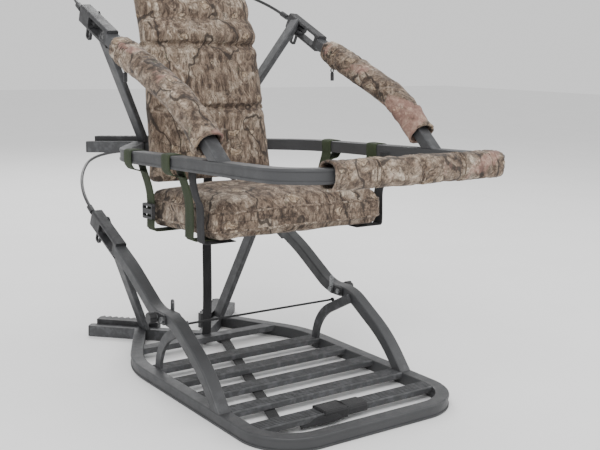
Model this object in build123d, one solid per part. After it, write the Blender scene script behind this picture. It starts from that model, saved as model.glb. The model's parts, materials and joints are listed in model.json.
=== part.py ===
from build123d import *
import os
from math import atan2, cos, hypot, radians, sin, sqrt, tan

# Two-piece climbing tree stand: a foot platform and a seat frame, each hung on a trunk by a cable.
# Millimetres, +Z up. The functions below work from the trunk: its axis is X = Y = 0, the stand
# faces -Y, and Z = 0 is the underside of the platform. Export moves everything forward by
# ORIGIN_BACK, so that the part's origin lies on the floor at the middle of its footprint.

# ---- driving dimensions -------------------------------------------------------------------------
# frame extrusion
RAIL_W = 30.0          # across
RAIL_H = 28.0          # tall
RAIL_WALL = 2.6
RAIL_ROUND = 3.0
GROOVE_H = 17.0        # the shallow channel along its outer side
GROOVE_DEPTH = 1.6

# platform, measured from the trunk axis where it isn't a width
PLATFORM_W = 508.0
PLATFORM_FRONT = 994.0
PLATFORM_CORNER_R = 115.0

# seat frame
SEAT_FRAME_W = 570.0
SEAT_FRAME_FRONT = 1092.0
SEAT_FRAME_CORNER_R = 112.0
SEAT_FRAME_Z = 476.4   # height of its trunk end above the platform's underside
SEAT_FRAME_TILT = 2.3  # degrees, front end up

# where the rails close in to the tree bracket, the same on both halves
BEND_BACK = 400.0
BEND_R = 250.0
RAIL_END_X = 124.0
V_APEX = 309.0         # trunk axis to the front of the V
V_REACH = 220.0        # half the V's width
V_DEPTH = 25.0
V_WALL = 3.0
CAP_T = 4.0
BLADE_L = 165.0
BLADE_DEPTH = 36.0
BLADE_H = 40.0
BLADE_SLOT_H = 14.0
BLADE_END_GAP = 10.0
TOOTH_PITCH = 16.5
TOOTH_DEPTH = 10.0

# deck
SLAT_COUNT = 5
SLAT_W = 39.0
SLAT_T = 14.0
SLAT_WALL = 2.2
SLAT_PITCH = 104.0
SLAT_FIRST = 454.0     # trunk axis to the rear edge of the first slat
SLAT_RIBS = 5
SLAT_RIB_DEPTH = 1.0
CROSS_BAR_W = 30.0

# side tubes: points are (forward of the trunk axis, up)
TUBE_W = 30.0
TUBE_D = 26.0
TUBE_WALL = 2.4
TUBE_ROUND = 3.5
JOINT = (556.0, 166.0)
ARCH_FOOT = (799.0, 10.0)
ARCH_KNEE = (729.0, 90.0)
ARCH_KNEE_R = 300.0
ARCH_TOP = (600.0, 166.0)
ARCH_TOP_R = 110.0
LOWER_ELBOW = (514.0, 166.0)
LOWER_ELBOW_R = 120.0
LOWER_BEND = (385.0, 240.0)
LOWER_BEND_R = 500.0
LOWER_TIP = (180.0, 330.0)
UPPER_FOOT = (857.0, 0.0)
UPPER_KNEE = (705.0, 137.0)
UPPER_KNEE_R = 600.0
UPPER_BEND = (430.0, 254.0)
UPPER_BEND_R = 500.0
UPPER_TIP = (262.0, 337.0)
UPPER_FLARE = 3.8      # degrees, the upper arms lean outward

# hoop brace on the arch's inner side
HOOP_W = 22.0
HOOP_T = 8.0
HOOP_FOOT_Z = 2.0
HOOP_CORNER = (479.0, 87.0)
HOOP_R = 110.0
HOOP_TOP = (612.0, 157.0)

# joint between arch and lower arm
PLATE_L = 52.0
PLATE_H = 22.0
PLATE_T = 4.0
BOLT_R = 4.0
BOLT_CLEAR = 0.2
BOLT_GAP = 28.0
BOLT_HEAD_R = 7.0
BOLT_HEAD_H = 5.0
KNOB_R = 13.0
KNOB_H = 16.0
KNOB_LOBES = 6
EYE_T = 2.5
EYE_W = 14.0
EYE_DROP = 27.0
CROSS_CORD_R = 2.5
CROSS_CORD_KNOT_R = 5.0
CROSS_CORD_KNOT_L = 7.0

# struts from the cable pockets down to the V
STRUT_W = 38.0
STRUT_T = 14.0
STRUT_FOOT = (110.0, -184.0)
STRUT_TOP_BACK = 34.0  # below the pocket's mouth

# cable pocket: lengths run down from its mouth
POCKET_L = 150.0
POCKET_H = 42.0
POCKET_W = 28.0
POCKET_ROUND = 5.0
WINDOW_L = 84.0
WINDOW_H = 26.0
WINDOW_START = 52.0
CABLE_R = 4.0
STOP_R = 7.0
STOP_L = 20.0
STOP_CLEAR = 0.6
SLEEVE_L = 26.0
SLEEVE_AT = 104.0      # from the cable's end
SLEEVE_CLEAR = 0.5

# plunger that holds the cable's stop, with its pull ring
PIN_R = 4.0
PIN_CLEAR = 0.3
PIN_TIP_GAP = 0.6
PIN_AT = 34.0
PIN_TRAVEL = 8.0
RING_W = 22.0
RING_H = 30.0
RING_WIRE = 4.5
RING_T = 6.0

# soft goods: seat and back are placed from the trunk axis and from the seat frame's underside
PAD_R = 30.0
PAD_CLEAR = 0.6
ARM_PAD_LOW = 796.0    # its lower end, forward of the trunk axis
FRONT_PAD_W = 412.0
SEAT_W = 466.0
SEAT_BACK_EDGE = 404.0
SEAT_FRONT_EDGE = 738.0
SEAT_UNDER = -150.0
SEAT_T = 84.0
SEAT_ROUND = 20.0
BACK_W = 352.0
BACK_T = 44.0
BACK_ROUND = 14.0
BACK_FRONT = [(372.0, -66.0), (338.0, 180.0), (242.0, 480.0)]
BACK_BEND_R = 500.0
SOFT_GAP = 3.0

# webbing
WEB_T = 2.0
SLING_W = 38.0
SLING_SLACK = 6.0
SLING_FRONT_AT = 640.0
SLING_REAR_AT = 464.0
SLING_LAP = 70.0
BUCKLE_W = 46.0
BUCKLE_H = 34.0
BUCKLE_T = 8.0
TETHER_W = 25.0
UNDER_STRAP_W = 25.0
UNDER_STRAP_FROM = (40.0, 335.0)
UNDER_STRAP_TO = (-165.0, 890.0)
ANCHOR_L = 34.0
ANCHOR_W = 44.0
ANCHOR_H = 16.0
FOOT_STRAP_W = 112.0
FOOT_STRAP_X = -18.0

# zipper pulls under the arm pads
PULL_R = 4.5
PULL_L = 20.0
PULL_EYE_R = 5.0
PULL_WIRE = 1.6
PULL_GAP = 3.0
PULL_AT = 452.0        # forward of the trunk axis

# cable routes, chosen by hand, for the right half; the left half mirrors them
LOWER_CABLE = [
    (239.0, -244.1, 301.9),
    (239.0, -143.4, 346.1),
    (226.0, -62.0, 384.0),
    (188.0, 24.0, 418.0),
    (122.0, 114.0, 444.0),
    (0.0, 170.0, 452.0),
]
UPPER_CABLE = [
    (288.4, -312.2, 794.6),
    (291.7, -211.7, 839.2),
    (272.0, -128.0, 876.0),
    (226.0, -30.0, 912.0),
    (146.0, 92.0, 944.0),
    (0.0, 170.0, 958.0),
]

# ---- derived ------------------------------------------------------------------------------------
ORIGIN_BACK = 581.3
PLATFORM_SIDE = PLATFORM_W / 2 - RAIL_W / 2
SEAT_FRAME_SIDE = SEAT_FRAME_W / 2 - RAIL_W / 2
ROOT2 = sqrt(2)
BIG = 2000.0
CENTRE_Z = RAIL_H / 2


def on_seat_frame(shape):
    """Carry a shape from the seat frame's own level coordinates to where it hangs."""
    return Pos(0, 0, SEAT_FRAME_Z) * Rot(-SEAT_FRAME_TILT, 0, 0) * shape


def left_of(shape):
    return mirror(shape, about=Plane.YZ)


def single(shape):
    solids = shape.solids()
    return solids[0] if len(solids) == 1 else Compound(children=list(solids))


def group(*shapes):
    return Compound(children=[solid for shape in shapes for solid in shape.solids()])


def export(name, shape):
    export_step(single(Pos(0, ORIGIN_BACK, 0) * shape), os.path.join("parts", name + ".step"))


# ---- frame extrusion ----------------------------------------------------------------------------
def rail_lean(side):
    return atan2(side - RAIL_END_X, BEND_BACK - (V_APEX - RAIL_END_X))


def rail_path(side, front, corner_r):
    """Centre line: out of the V, along the side, round the front and back again."""
    lean = rail_lean(side)
    run = (BEND_BACK - V_APEX + side + RAIL_W)
    end_x = side - run * sin(lean)
    end_y = -BEND_BACK + run * cos(lean)
    front_y = -front + RAIL_W / 2
    corner = corner_r - RAIL_W / 2
    return FilletPolyline(
        (end_x, end_y, CENTRE_Z),
        (side, -BEND_BACK, CENTRE_Z),
        (side, front_y, CENTRE_Z),
        (-side, front_y, CENTRE_Z),
        (-side, -BEND_BACK, CENTRE_Z),
        (-end_x, end_y, CENTRE_Z),
        radius=[BEND_R, corner, corner, BEND_R],
    )


def rail_start(side, path):
    """Section plane at the path's start: x points outward, y up."""
    lean = rail_lean(side)
    return Plane(origin=path @ 0, x_dir=(cos(lean), sin(lean), 0), z_dir=path % 0)


def behind_v(inset):
    """Everything on the trunk's side of the V's faces, which inset moves back from its front."""
    apex = -V_APEX + inset * ROOT2
    corners = [(0, apex), (BIG, BIG + apex), (-BIG, BIG + apex)]
    return extrude(make_face(Polyline(*corners, close=True)), BIG, both=True)


def rail_envelope(side, front, corner_r):
    """The rail with its groove and bore filled, for trimming what meets it."""
    path = rail_path(side, front, corner_r)
    return sweep(rail_start(side, path) * Rectangle(RAIL_W, RAIL_H), path=path)


def rail(side, front, corner_r):
    path = rail_path(side, front, corner_r)
    start = rail_start(side, path)
    outward = 1 if start.x_dir.X * side > 0 else -1
    groove = Pos(outward * RAIL_W / 2, 0) * Rectangle(2 * GROOVE_DEPTH, GROOVE_H)
    bore_w = RAIL_W - 2 * RAIL_WALL - GROOVE_DEPTH
    bore = Pos(-outward * GROOVE_DEPTH / 2, 0) * Rectangle(bore_w, RAIL_H - 2 * RAIL_WALL)
    outer = sweep(start * (RectangleRounded(RAIL_W, RAIL_H, RAIL_ROUND) - groove), path=path)
    inner = sweep(start * bore, path=path)
    return outer - inner - behind_v(0)


# ---- tree bracket -------------------------------------------------------------------------------
def v_outline(inset, reach):
    front = -V_APEX + inset * ROOT2
    back = -V_APEX + (V_DEPTH - inset) * ROOT2
    near = inset / ROOT2
    far = (V_DEPTH - inset) / ROOT2
    end = -V_APEX + reach
    right = [(0, front), (reach - near, end + near), (reach - far, end + far), (0, back)]
    left = [(-x, y) for x, y in reversed(right[1:3])]
    return make_face(Polyline(*right, *left, close=True))


def v_bracket():
    bar = extrude(v_outline(0, V_REACH), RAIL_H)
    bore = Pos(0, 0, V_WALL) * extrude(v_outline(V_WALL, V_REACH + V_DEPTH), RAIL_H - 2 * V_WALL)
    return bar - bore


def bracket_caps():
    """Plugs that close the V's two ends."""
    middle = V_DEPTH / 2 / ROOT2
    face = (V_REACH - middle, -V_APEX + V_REACH + middle, CENTRE_Z)
    cap = Pos(CAP_T / 2, 0, 0) * Box(CAP_T, V_DEPTH, RAIL_H)
    cap = fillet(cap.edges().filter_by(Axis.X), RAIL_ROUND)
    right = Pos(*face) * Rot(0, 0, 45) * cap
    return group(right, left_of(right))


def blade():
    """Toothed bar on the trunk side of the V's right arm, channelled along its back."""
    teeth = int(BLADE_L / TOOTH_PITCH)
    root = BLADE_DEPTH - TOOTH_DEPTH
    points = [(0, 0), (0, root)]
    for tooth in range(teeth):
        points.append(((tooth + 0.5) * TOOTH_PITCH, BLADE_DEPTH))
        points.append(((tooth + 1) * TOOTH_PITCH, root))
    points.append((teeth * TOOTH_PITCH, 0))
    bar = extrude(make_face(Polyline(*points, close=True)), BLADE_H)
    slot = Box(BIG, 2 * (BLADE_DEPTH - TOOTH_DEPTH) / 3, BLADE_SLOT_H)
    bar -= Pos(0, 0, BLADE_H / 2) * slot
    out = V_REACH - V_DEPTH / ROOT2 - (BLADE_END_GAP + teeth * TOOTH_PITCH) / ROOT2
    tip = (out, -V_APEX + V_DEPTH * ROOT2 + out, 0)
    return Pos(*tip) * Rot(0, 0, 45) * bar


def blades():
    right = blade()
    return group(right, left_of(right))


# ---- deck ---------------------------------------------------------------------------------------
def slat_profile():
    """Hollow slat with tread ribs along its top; x across, y up."""
    body = RectangleRounded(SLAT_W, SLAT_T, RAIL_ROUND)
    hollow = Rectangle(SLAT_W - 2 * SLAT_WALL, SLAT_T - 2 * SLAT_WALL)
    step = SLAT_W / (SLAT_RIBS + 1)
    for rib in range(SLAT_RIBS):
        across = (rib - (SLAT_RIBS - 1) / 2) * step
        body -= Pos(across, SLAT_T / 2) * Rectangle(step / 2, 2 * SLAT_RIB_DEPTH)
    return body - hollow


def slat(index, envelope):
    rear = -SLAT_FIRST - index * SLAT_PITCH
    section = Plane(
        origin=(-PLATFORM_SIDE, rear - SLAT_W / 2, RAIL_H - SLAT_T / 2),
        x_dir=(0, 1, 0),
        z_dir=(1, 0, 0),
    )
    bar = extrude(section * slat_profile(), 2 * PLATFORM_SIDE) - envelope
    return bar.solids().sort_by(SortBy.VOLUME)[-1]


def cross_bar(envelope):
    """Bar between the two rails, against the V's apex."""
    middle = (0, -V_APEX - CROSS_BAR_W / 2, RAIL_H - SLAT_T / 2)
    bar = Pos(*middle) * Box(2 * PLATFORM_SIDE, CROSS_BAR_W, SLAT_T)
    return (bar - envelope).solids().sort_by(SortBy.VOLUME)[-1]


# ---- side tubes ---------------------------------------------------------------------------------
def side_plane(side):
    """x runs forward, y up, in the vertical plane through one side."""
    return Plane(origin=(side, 0, 0), x_dir=(0, -1, 0), z_dir=(-1, 0, 0))


def swept(path, width, depth, rounding=0.0):
    start = Plane(origin=path @ 0, x_dir=(1, 0, 0), z_dir=path % 0)
    section = RectangleRounded(width, depth, rounding) if rounding else Rectangle(width, depth)
    return sweep(start * section, path=path)


def tube(path):
    bore = swept(path, TUBE_W - 2 * TUBE_WALL, TUBE_D - 2 * TUBE_WALL)
    return swept(path, TUBE_W, TUBE_D, TUBE_ROUND) - bore


def below(height):
    return Pos(0, 0, height - BIG / 2) * Box(2 * BIG, 2 * BIG, BIG)


def flared(shape, side, flare):
    """Lean a side's tubes outward about the top of the rail."""
    return Pos(side, 0, RAIL_H) * Rot(0, flare, 0) * Pos(-side, 0, -RAIL_H) * shape


def pocket_start(bend, tip):
    run = hypot(bend[0] - tip[0], bend[1] - tip[1])
    share = POCKET_L / run
    return (tip[0] + (bend[0] - tip[0]) * share, tip[1] + (bend[1] - tip[1]) * share)


def arch_path():
    line = FilletPolyline(ARCH_FOOT, ARCH_KNEE, ARCH_TOP, JOINT, radius=[ARCH_KNEE_R, ARCH_TOP_R])
    return side_plane(PLATFORM_SIDE) * line


def lower_arm_path():
    end = pocket_start(LOWER_BEND, LOWER_TIP)
    line = FilletPolyline(
        JOINT, LOWER_ELBOW, LOWER_BEND, end, radius=[LOWER_ELBOW_R, LOWER_BEND_R]
    )
    return side_plane(PLATFORM_SIDE) * line


def upper_arm_path(start=UPPER_FOOT[0]):
    end = pocket_start(UPPER_BEND, UPPER_TIP)
    climb = (UPPER_KNEE[1] - UPPER_FOOT[1]) / (UPPER_FOOT[0] - UPPER_KNEE[0])
    first = (start, UPPER_FOOT[1] + (UPPER_FOOT[0] - start) * climb)
    line = FilletPolyline(first, UPPER_KNEE, UPPER_BEND, end, radius=[UPPER_KNEE_R, UPPER_BEND_R])
    return side_plane(SEAT_FRAME_SIDE) * line


def arch():
    return tube(arch_path()) - below(RAIL_H) - joint_holes()


def lower_arm():
    return tube(lower_arm_path()) - joint_holes()


def upper_arm():
    return flared(tube(upper_arm_path()), SEAT_FRAME_SIDE, UPPER_FLARE) - below(RAIL_H)


def hoop():
    """Flat bar bent from the arch's inner face down to the rail's inner face."""
    inner = PLATFORM_SIDE - TUBE_W / 2
    foot = (HOOP_CORNER[0], HOOP_FOOT_Z)
    line = FilletPolyline(HOOP_TOP, HOOP_CORNER, foot, radius=HOOP_R)
    path = side_plane(inner - HOOP_T / 2) * line
    return swept(path, HOOP_T, HOOP_W)


# ---- joint between arch and lower arm -----------------------------------------------------------
def joint_spots():
    return [(JOINT[0] + shift, JOINT[1]) for shift in (-BOLT_GAP / 2, BOLT_GAP / 2)]


def joint_holes():
    holes = [
        Pos(PLATFORM_SIDE, -spot[0], spot[1]) * Rot(0, 90, 0) * Cylinder(BOLT_R + BOLT_CLEAR, BIG / 4)
        for spot in joint_spots()
    ]
    return holes[0] + holes[1]


def joint_plates():
    """Two straps on each side that clamp the arch and the arm end to end."""
    reach = TUBE_W / 2 + PLATE_T / 2
    plates = []
    for x in (PLATFORM_SIDE - reach, PLATFORM_SIDE + reach):
        plate = Pos(x, -JOINT[0], JOINT[1]) * Box(PLATE_T, PLATE_L, PLATE_H)
        plate = fillet(plate.edges().filter_by(Axis.X), PLATE_H / 3)
        plates.append(plate - joint_holes())
    right = group(*plates)
    return group(right, left_of(right))


def joint_bolts():
    """Through bolts: hexagon head outside, nut inside, plain shank between."""
    outer = PLATFORM_SIDE + TUBE_W / 2 + PLATE_T
    inner = PLATFORM_SIDE - TUBE_W / 2 - PLATE_T - EYE_T
    bolts = []
    for spot, inside in zip(joint_spots(), (inner, inner + EYE_T)):
        length = outer - inside + 2 * BOLT_HEAD_H
        shank = Pos((outer + inside) / 2, -spot[0], spot[1]) * Rot(0, 90, 0) * Cylinder(BOLT_R, length)
        for start in (outer, inside - BOLT_HEAD_H):
            plane = Plane(origin=(start, -spot[0], spot[1]), x_dir=(0, 1, 0), z_dir=(1, 0, 0))
            shank += extrude(plane * RegularPolygon(BOLT_HEAD_R, 6), BOLT_HEAD_H)
        bolts.append(shank)
    right = group(*bolts)
    return group(right, left_of(right))


def joint_knobs():
    """Lobed hand knobs over the rear bolts' heads."""
    spot = joint_spots()[0]
    start = PLATFORM_SIDE + TUBE_W / 2 + PLATE_T + BOLT_HEAD_H
    plane = Plane(origin=(start, -spot[0], spot[1]), x_dir=(0, 1, 0), z_dir=(1, 0, 0))
    body = Circle(KNOB_R)
    for lobe in range(KNOB_LOBES):
        turn = 360 / KNOB_LOBES * lobe
        body -= Rot(0, 0, turn) * Pos(KNOB_R * 1.1, 0) * Circle(KNOB_R / 4)
    right = extrude(plane * body, KNOB_H)
    right = chamfer(right.faces().sort_by(Axis.X)[-1].edges(), KNOB_R / 12)
    return group(right, left_of(right))


def cord_eyes():
    """Tabs under the rear bolts' nuts that hold the cross cord."""
    spot = joint_spots()[0]
    face = PLATFORM_SIDE - TUBE_W / 2 - PLATE_T
    plane = Plane(origin=(face, -spot[0], spot[1]), x_dir=(0, 1, 0), z_dir=(-1, 0, 0))
    slot = Pos(0, -EYE_DROP / 2) * Rot(0, 0, 90) * SlotCenterToCenter(EYE_DROP, EYE_W)
    holes = Circle(BOLT_R + BOLT_CLEAR) + Pos(0, -EYE_DROP) * Circle(CROSS_CORD_R + BOLT_CLEAR)
    right = extrude(plane * (slot - holes), EYE_T)
    return group(right, left_of(right))


def cross_cord():
    """Tight cord between the two joints, knotted outside its eyes."""
    spot = joint_spots()[0]
    knot_at = PLATFORM_SIDE - TUBE_W / 2 - PLATE_T
    middle = Pos(0, -spot[0], spot[1] - EYE_DROP) * Rot(0, 90, 0)
    cord = middle * Cylinder(CROSS_CORD_R, 2 * knot_at)
    for way in (-1, 1):
        knot = Cylinder(CROSS_CORD_KNOT_R, CROSS_CORD_KNOT_L)
        cord += middle * Pos(0, 0, way * (knot_at + CROSS_CORD_KNOT_L / 2)) * knot
    return cord


# ---- cable pockets, struts, plungers ------------------------------------------------------------
def pocket_plane(side, bend, tip):
    """Origin in the pocket's mouth, x out along the cable, y square to it upward."""
    slope = atan2(tip[1] - bend[1], bend[0] - tip[0])
    return Plane(origin=(side, -tip[0], tip[1]), x_dir=(0, cos(slope), sin(slope)), z_dir=(1, 0, 0))


def pocket_body():
    body = Pos(-POCKET_L / 2, 0, 0) * Box(POCKET_L, POCKET_H, POCKET_W)
    body = fillet(body.edges().filter_by(Axis.X), POCKET_ROUND)
    lead_in = body.faces().sort_by(Axis.X)[-1].edges()
    body = chamfer(lead_in, POCKET_ROUND / 3)
    bore = Rot(0, 90, 0) * Cylinder(STOP_R + STOP_CLEAR, 2 * POCKET_L)
    window = Box(WINDOW_L, WINDOW_H, 2 * POCKET_W)
    window = fillet(window.edges().filter_by(Axis.Z), POCKET_ROUND)
    window = Pos(-WINDOW_START - WINDOW_L / 2, 0, 0) * window
    pin_hole = Pos(-PIN_AT, -POCKET_H / 2, 0) * Rot(90, 0, 0) * Cylinder(PIN_R + PIN_CLEAR, POCKET_H)
    return body - bore - window - pin_hole


def plunger_body():
    """Pin with a flat pull ring below the pocket."""
    top = -CABLE_R - PIN_TIP_GAP
    seat = -POCKET_H / 2 - PIN_CLEAR
    pin = Pos(-PIN_AT, (top + seat) / 2, 0) * Rot(90, 0, 0) * Cylinder(PIN_R, top - seat)
    outer = Rectangle(RING_W, RING_H)
    outer = fillet(outer.vertices(), RING_W / 3)
    inner = offset(outer, -RING_WIRE)
    ring = Pos(-PIN_AT, seat - RING_H / 2, -RING_T / 2) * extrude(outer - inner, RING_T)
    return pin + ring


def placed(body, side, bend, tip, flare):
    return flared(pocket_plane(side, bend, tip).location * body, side, flare)


def pocket_inner_side(side, flare):
    """Everything outboard of the pocket's inner face."""
    return flared(Pos(side - POCKET_W / 2 + BIG / 2, 0, 0) * Box(BIG, 2 * BIG, 2 * BIG), side, flare)


def strut(side, bend, tip, flare):
    """Flat tube from the pocket's inner face down to the top of the V."""
    slope = atan2(tip[1] - bend[1], bend[0] - tip[0])
    back = STRUT_TOP_BACK
    rise = tip[1] - back * sin(slope) - RAIL_H
    top = Vector(
        side + rise * sin(radians(flare)) - POCKET_W / 2,
        -tip[0] - back * cos(slope),
        RAIL_H + rise * cos(radians(flare)),
    )
    foot = Vector(STRUT_FOOT[0], STRUT_FOOT[1], RAIL_H)
    along = (top - foot).normalized()
    section = Plane(origin=foot - along * STRUT_W, x_dir=(0, 1, 0), z_dir=along)
    length = (top - foot).length + 2 * STRUT_W
    outer = extrude(section * RectangleRounded(STRUT_W, STRUT_T, TUBE_ROUND), length)
    bore = extrude(section * Rectangle(STRUT_W - 2 * TUBE_WALL, STRUT_T - 2 * TUBE_WALL), length)
    toes = behind_v(V_DEPTH) & (Pos(0, 0, BLADE_H / 2) * Box(BIG, BIG, BLADE_H + 2 * SOFT_GAP))
    return outer - bore - below(RAIL_H) - toes - pocket_inner_side(side, flare)


# ---- cables -------------------------------------------------------------------------------------
def whole_route(half):
    return half + [(-x, y, z) for x, y, z in reversed(half[:-1])]


def route_radii(points):
    """Each arc is as large as its two runs allow: 0.45 of the shorter, over tan of half the turn."""
    radii = []
    for before, corner, after in zip(points, points[1:], points[2:]):
        arriving = Vector(*corner) - Vector(*before)
        leaving = Vector(*after) - Vector(*corner)
        turn = radians(arriving.get_angle(leaving))
        radii.append(0.45 * min(arriving.length, leaving.length) / tan(turn / 2))
    return radii


def cable_path(half):
    points = whole_route(half)
    return FilletPolyline(*points, radius=route_radii(points))


def cable(name, half):
    path = cable_path(half)
    radii = [round(radius) for radius in route_radii(whole_route(half))]
    print(name, "length", round(path.length), "radii", radii)
    return sweep(Plane(origin=path @ 0, z_dir=path % 0) * Circle(CABLE_R), path=path)


def cable_stops(half):
    """Stops inside the pockets and crimped sleeves above them, all round the cable."""
    path = cable_path(half)
    rings = []
    for at, length, clear in ((STOP_L / 2, STOP_L, 0.0), (SLEEVE_AT, SLEEVE_L, SLEEVE_CLEAR)):
        spot = path.position_at(at, position_mode=PositionMode.LENGTH)
        along = path.tangent_at(at, position_mode=PositionMode.LENGTH)
        ring = Cylinder(STOP_R, length) - Cylinder(CABLE_R + clear, length)
        rings.append(Plane(origin=spot, z_dir=along).location * ring)
    right = group(*rings)
    return group(right, left_of(right))


# ---- soft goods ---------------------------------------------------------------------------------
def front_pad():
    """Round sleeve on the seat frame's front bar."""
    middle = (0, -SEAT_FRAME_FRONT + RAIL_W / 2, CENTRE_Z)
    pad = Pos(*middle) * Rot(0, 90, 0) * Cylinder(PAD_R, FRONT_PAD_W)
    path = rail_path(SEAT_FRAME_SIDE, SEAT_FRAME_FRONT, SEAT_FRAME_CORNER_R)
    bore = Rectangle(RAIL_W + 2 * PAD_CLEAR, RAIL_H + 2 * PAD_CLEAR)
    return pad - sweep(rail_start(SEAT_FRAME_SIDE, path) * bore, path=path)


def arm_pad():
    """Round sleeve along the upper arm, from above its foot to the cable pocket."""
    path = upper_arm_path(ARM_PAD_LOW)
    start = Plane(origin=path @ 0, x_dir=(1, 0, 0), z_dir=path % 0)
    sleeve = sweep(start * Circle(PAD_R), path=path)
    sleeve -= swept(path, TUBE_W + 2 * PAD_CLEAR, TUBE_D + 2 * PAD_CLEAR)
    end = UPPER_BEND[0] + SOFT_GAP
    rear = Pos(SEAT_FRAME_SIDE, BIG / 2 - end, 0) * Box(BIG, BIG, 2 * BIG)
    return flared(sleeve - rear, SEAT_FRAME_SIDE, UPPER_FLARE)


def seat_cushion():
    depth = SEAT_FRONT_EDGE - SEAT_BACK_EDGE
    middle = (0, -SEAT_BACK_EDGE - depth / 2, SEAT_UNDER + SEAT_T / 2)
    return fillet((Pos(*middle) * Box(SEAT_W, depth, SEAT_T)).edges(), SEAT_ROUND)


def seat_back():
    """Back rest: a bent slab that stands in front of the V and leans over it to the trunk."""
    line = FilletPolyline(*BACK_FRONT, radius=BACK_BEND_R)
    face = side_plane(0) * trace(line, line_width=BACK_T)
    slab = Pos(0, BACK_T / 2, 0) * extrude(face, BACK_W / 2, both=True, dir=(1, 0, 0))
    corners = slab.edges().filter_by(Axis.X)
    return fillet(corners, BACK_ROUND)


def sling(at):
    """Webbing loop over the rail, down to the cushion's side and a lap under it."""
    level = RAIL_H + WEB_T / 2
    outer = SEAT_FRAME_SIDE + RAIL_W / 2 + SLING_SLACK
    inner = SEAT_FRAME_SIDE - RAIL_W / 2 - SLING_SLACK
    seat_x = SEAT_W / 2 + WEB_T / 2
    under = SEAT_UNDER - WEB_T / 2
    bottom = -SLING_SLACK
    loop = Polyline(
        (inner, bottom), (inner, level), (outer, level), (outer, bottom), close=True
    )
    tail = Polyline(
        (inner, bottom),
        (seat_x, SEAT_UNDER + SEAT_T),
        (seat_x, under),
        (seat_x - SLING_LAP, under),
    )
    face = Plane.XZ * (trace(loop, line_width=WEB_T) + trace(tail, line_width=WEB_T))
    return Pos(0, -at, 0) * extrude(face, SLING_W / 2, both=True)


def strap_buckles():
    """Ladder-lock buckles on the rear slings."""
    plane = Plane(
        origin=(SEAT_W / 2 + WEB_T, -SLING_REAR_AT, SEAT_UNDER + SEAT_T / 2),
        x_dir=(0, 1, 0),
        z_dir=(1, 0, 0),
    )
    frame = RectangleRounded(BUCKLE_W, BUCKLE_H, BUCKLE_T / 2)
    for level in (-BUCKLE_H / 4, BUCKLE_H / 4):
        frame -= Pos(0, level) * Rectangle(SLING_W, BUCKLE_H / 6)
    right = extrude(plane * frame, BUCKLE_T)
    return group(right, left_of(right))


def tether():
    """Strap from the platform's cross bar up to the seat frame's V."""
    low = RAIL_H
    high = SEAT_FRAME_Z + V_APEX * sin(radians(SEAT_FRAME_TILT))
    at = V_APEX + WEB_T / 2 + PIN_CLEAR
    strap = Pos(0, -at, (low + high + RAIL_H) / 2) * Box(TETHER_W, WEB_T, high + RAIL_H - low)
    return strap


def under_strap():
    """Webbing beneath the slats, from the cross bar to the front slat."""
    level = RAIL_H - SLAT_T
    ends = [(UNDER_STRAP_FROM[0], -UNDER_STRAP_FROM[1]), (UNDER_STRAP_TO[0], -UNDER_STRAP_TO[1])]
    face = trace(Line(*ends), line_width=UNDER_STRAP_W)
    return Pos(0, 0, level - WEB_T) * extrude(face, WEB_T)


def strap_anchor():
    """Tapered plastic guide under the cross bar that the strap comes out of."""
    level = RAIL_H - SLAT_T - WEB_T
    start = Plane(origin=(UNDER_STRAP_FROM[0], -V_APEX - CROSS_BAR_W / 2, level), z_dir=(0, 0, -1))
    wide = start * Rectangle(ANCHOR_W, ANCHOR_L / 2)
    narrow = start.offset(level - SOFT_GAP) * Rectangle(ANCHOR_W / 2, ANCHOR_L / 3)
    return loft([wide, narrow])


def foot_strap():
    """Two turns of webbing round the front slat."""
    rear = -SLAT_FIRST - (SLAT_COUNT - 1) * SLAT_PITCH
    middle = (rear - SLAT_W / 2, RAIL_H - SLAT_T / 2)
    plane = Plane(origin=(FOOT_STRAP_X - FOOT_STRAP_W / 2, *middle), x_dir=(0, 1, 0), z_dir=(1, 0, 0))
    outer = RectangleRounded(SLAT_W + 2 * WEB_T, SLAT_T + 2 * WEB_T, RAIL_ROUND + WEB_T)
    inner = Rectangle(SLAT_W, SLAT_T)
    first = extrude(plane * (outer - inner), FOOT_STRAP_W)
    wider = RectangleRounded(SLAT_W + 4 * WEB_T, SLAT_T + 4 * WEB_T, RAIL_ROUND + 2 * WEB_T)
    second = extrude(plane * (wider - inner), FOOT_STRAP_W / 2)
    return first + second


def zipper_pull():
    """Cylinder on a wire eye, hanging under the arm pad."""
    eye = Rot(0, 90, 0) * Torus(PULL_EYE_R, PULL_WIRE)
    drop = PULL_EYE_R + PULL_WIRE / 2
    body = Pos(0, 0, -drop - PULL_L / 2) * Cylinder(PULL_R, PULL_L)
    body = chamfer(body.edges().filter_by(GeomType.CIRCLE), PULL_R / 4)
    return pull_place() * (eye + body)


def pull_place():
    """Under the arm pad's upper end, from the arm's own bend."""
    slope = atan2(UPPER_BEND[1] - UPPER_KNEE[1], UPPER_KNEE[0] - UPPER_BEND[0])
    ahead = PULL_AT - UPPER_BEND[0]
    centre = UPPER_BEND[1] - ahead * tan(slope)
    drop = PAD_R / cos(slope) + PULL_EYE_R + PULL_WIRE + PULL_GAP
    level = centre - drop
    out = SEAT_FRAME_SIDE + (level - RAIL_H) * tan(radians(UPPER_FLARE))
    return Pos(out, -PULL_AT, level)


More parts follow.
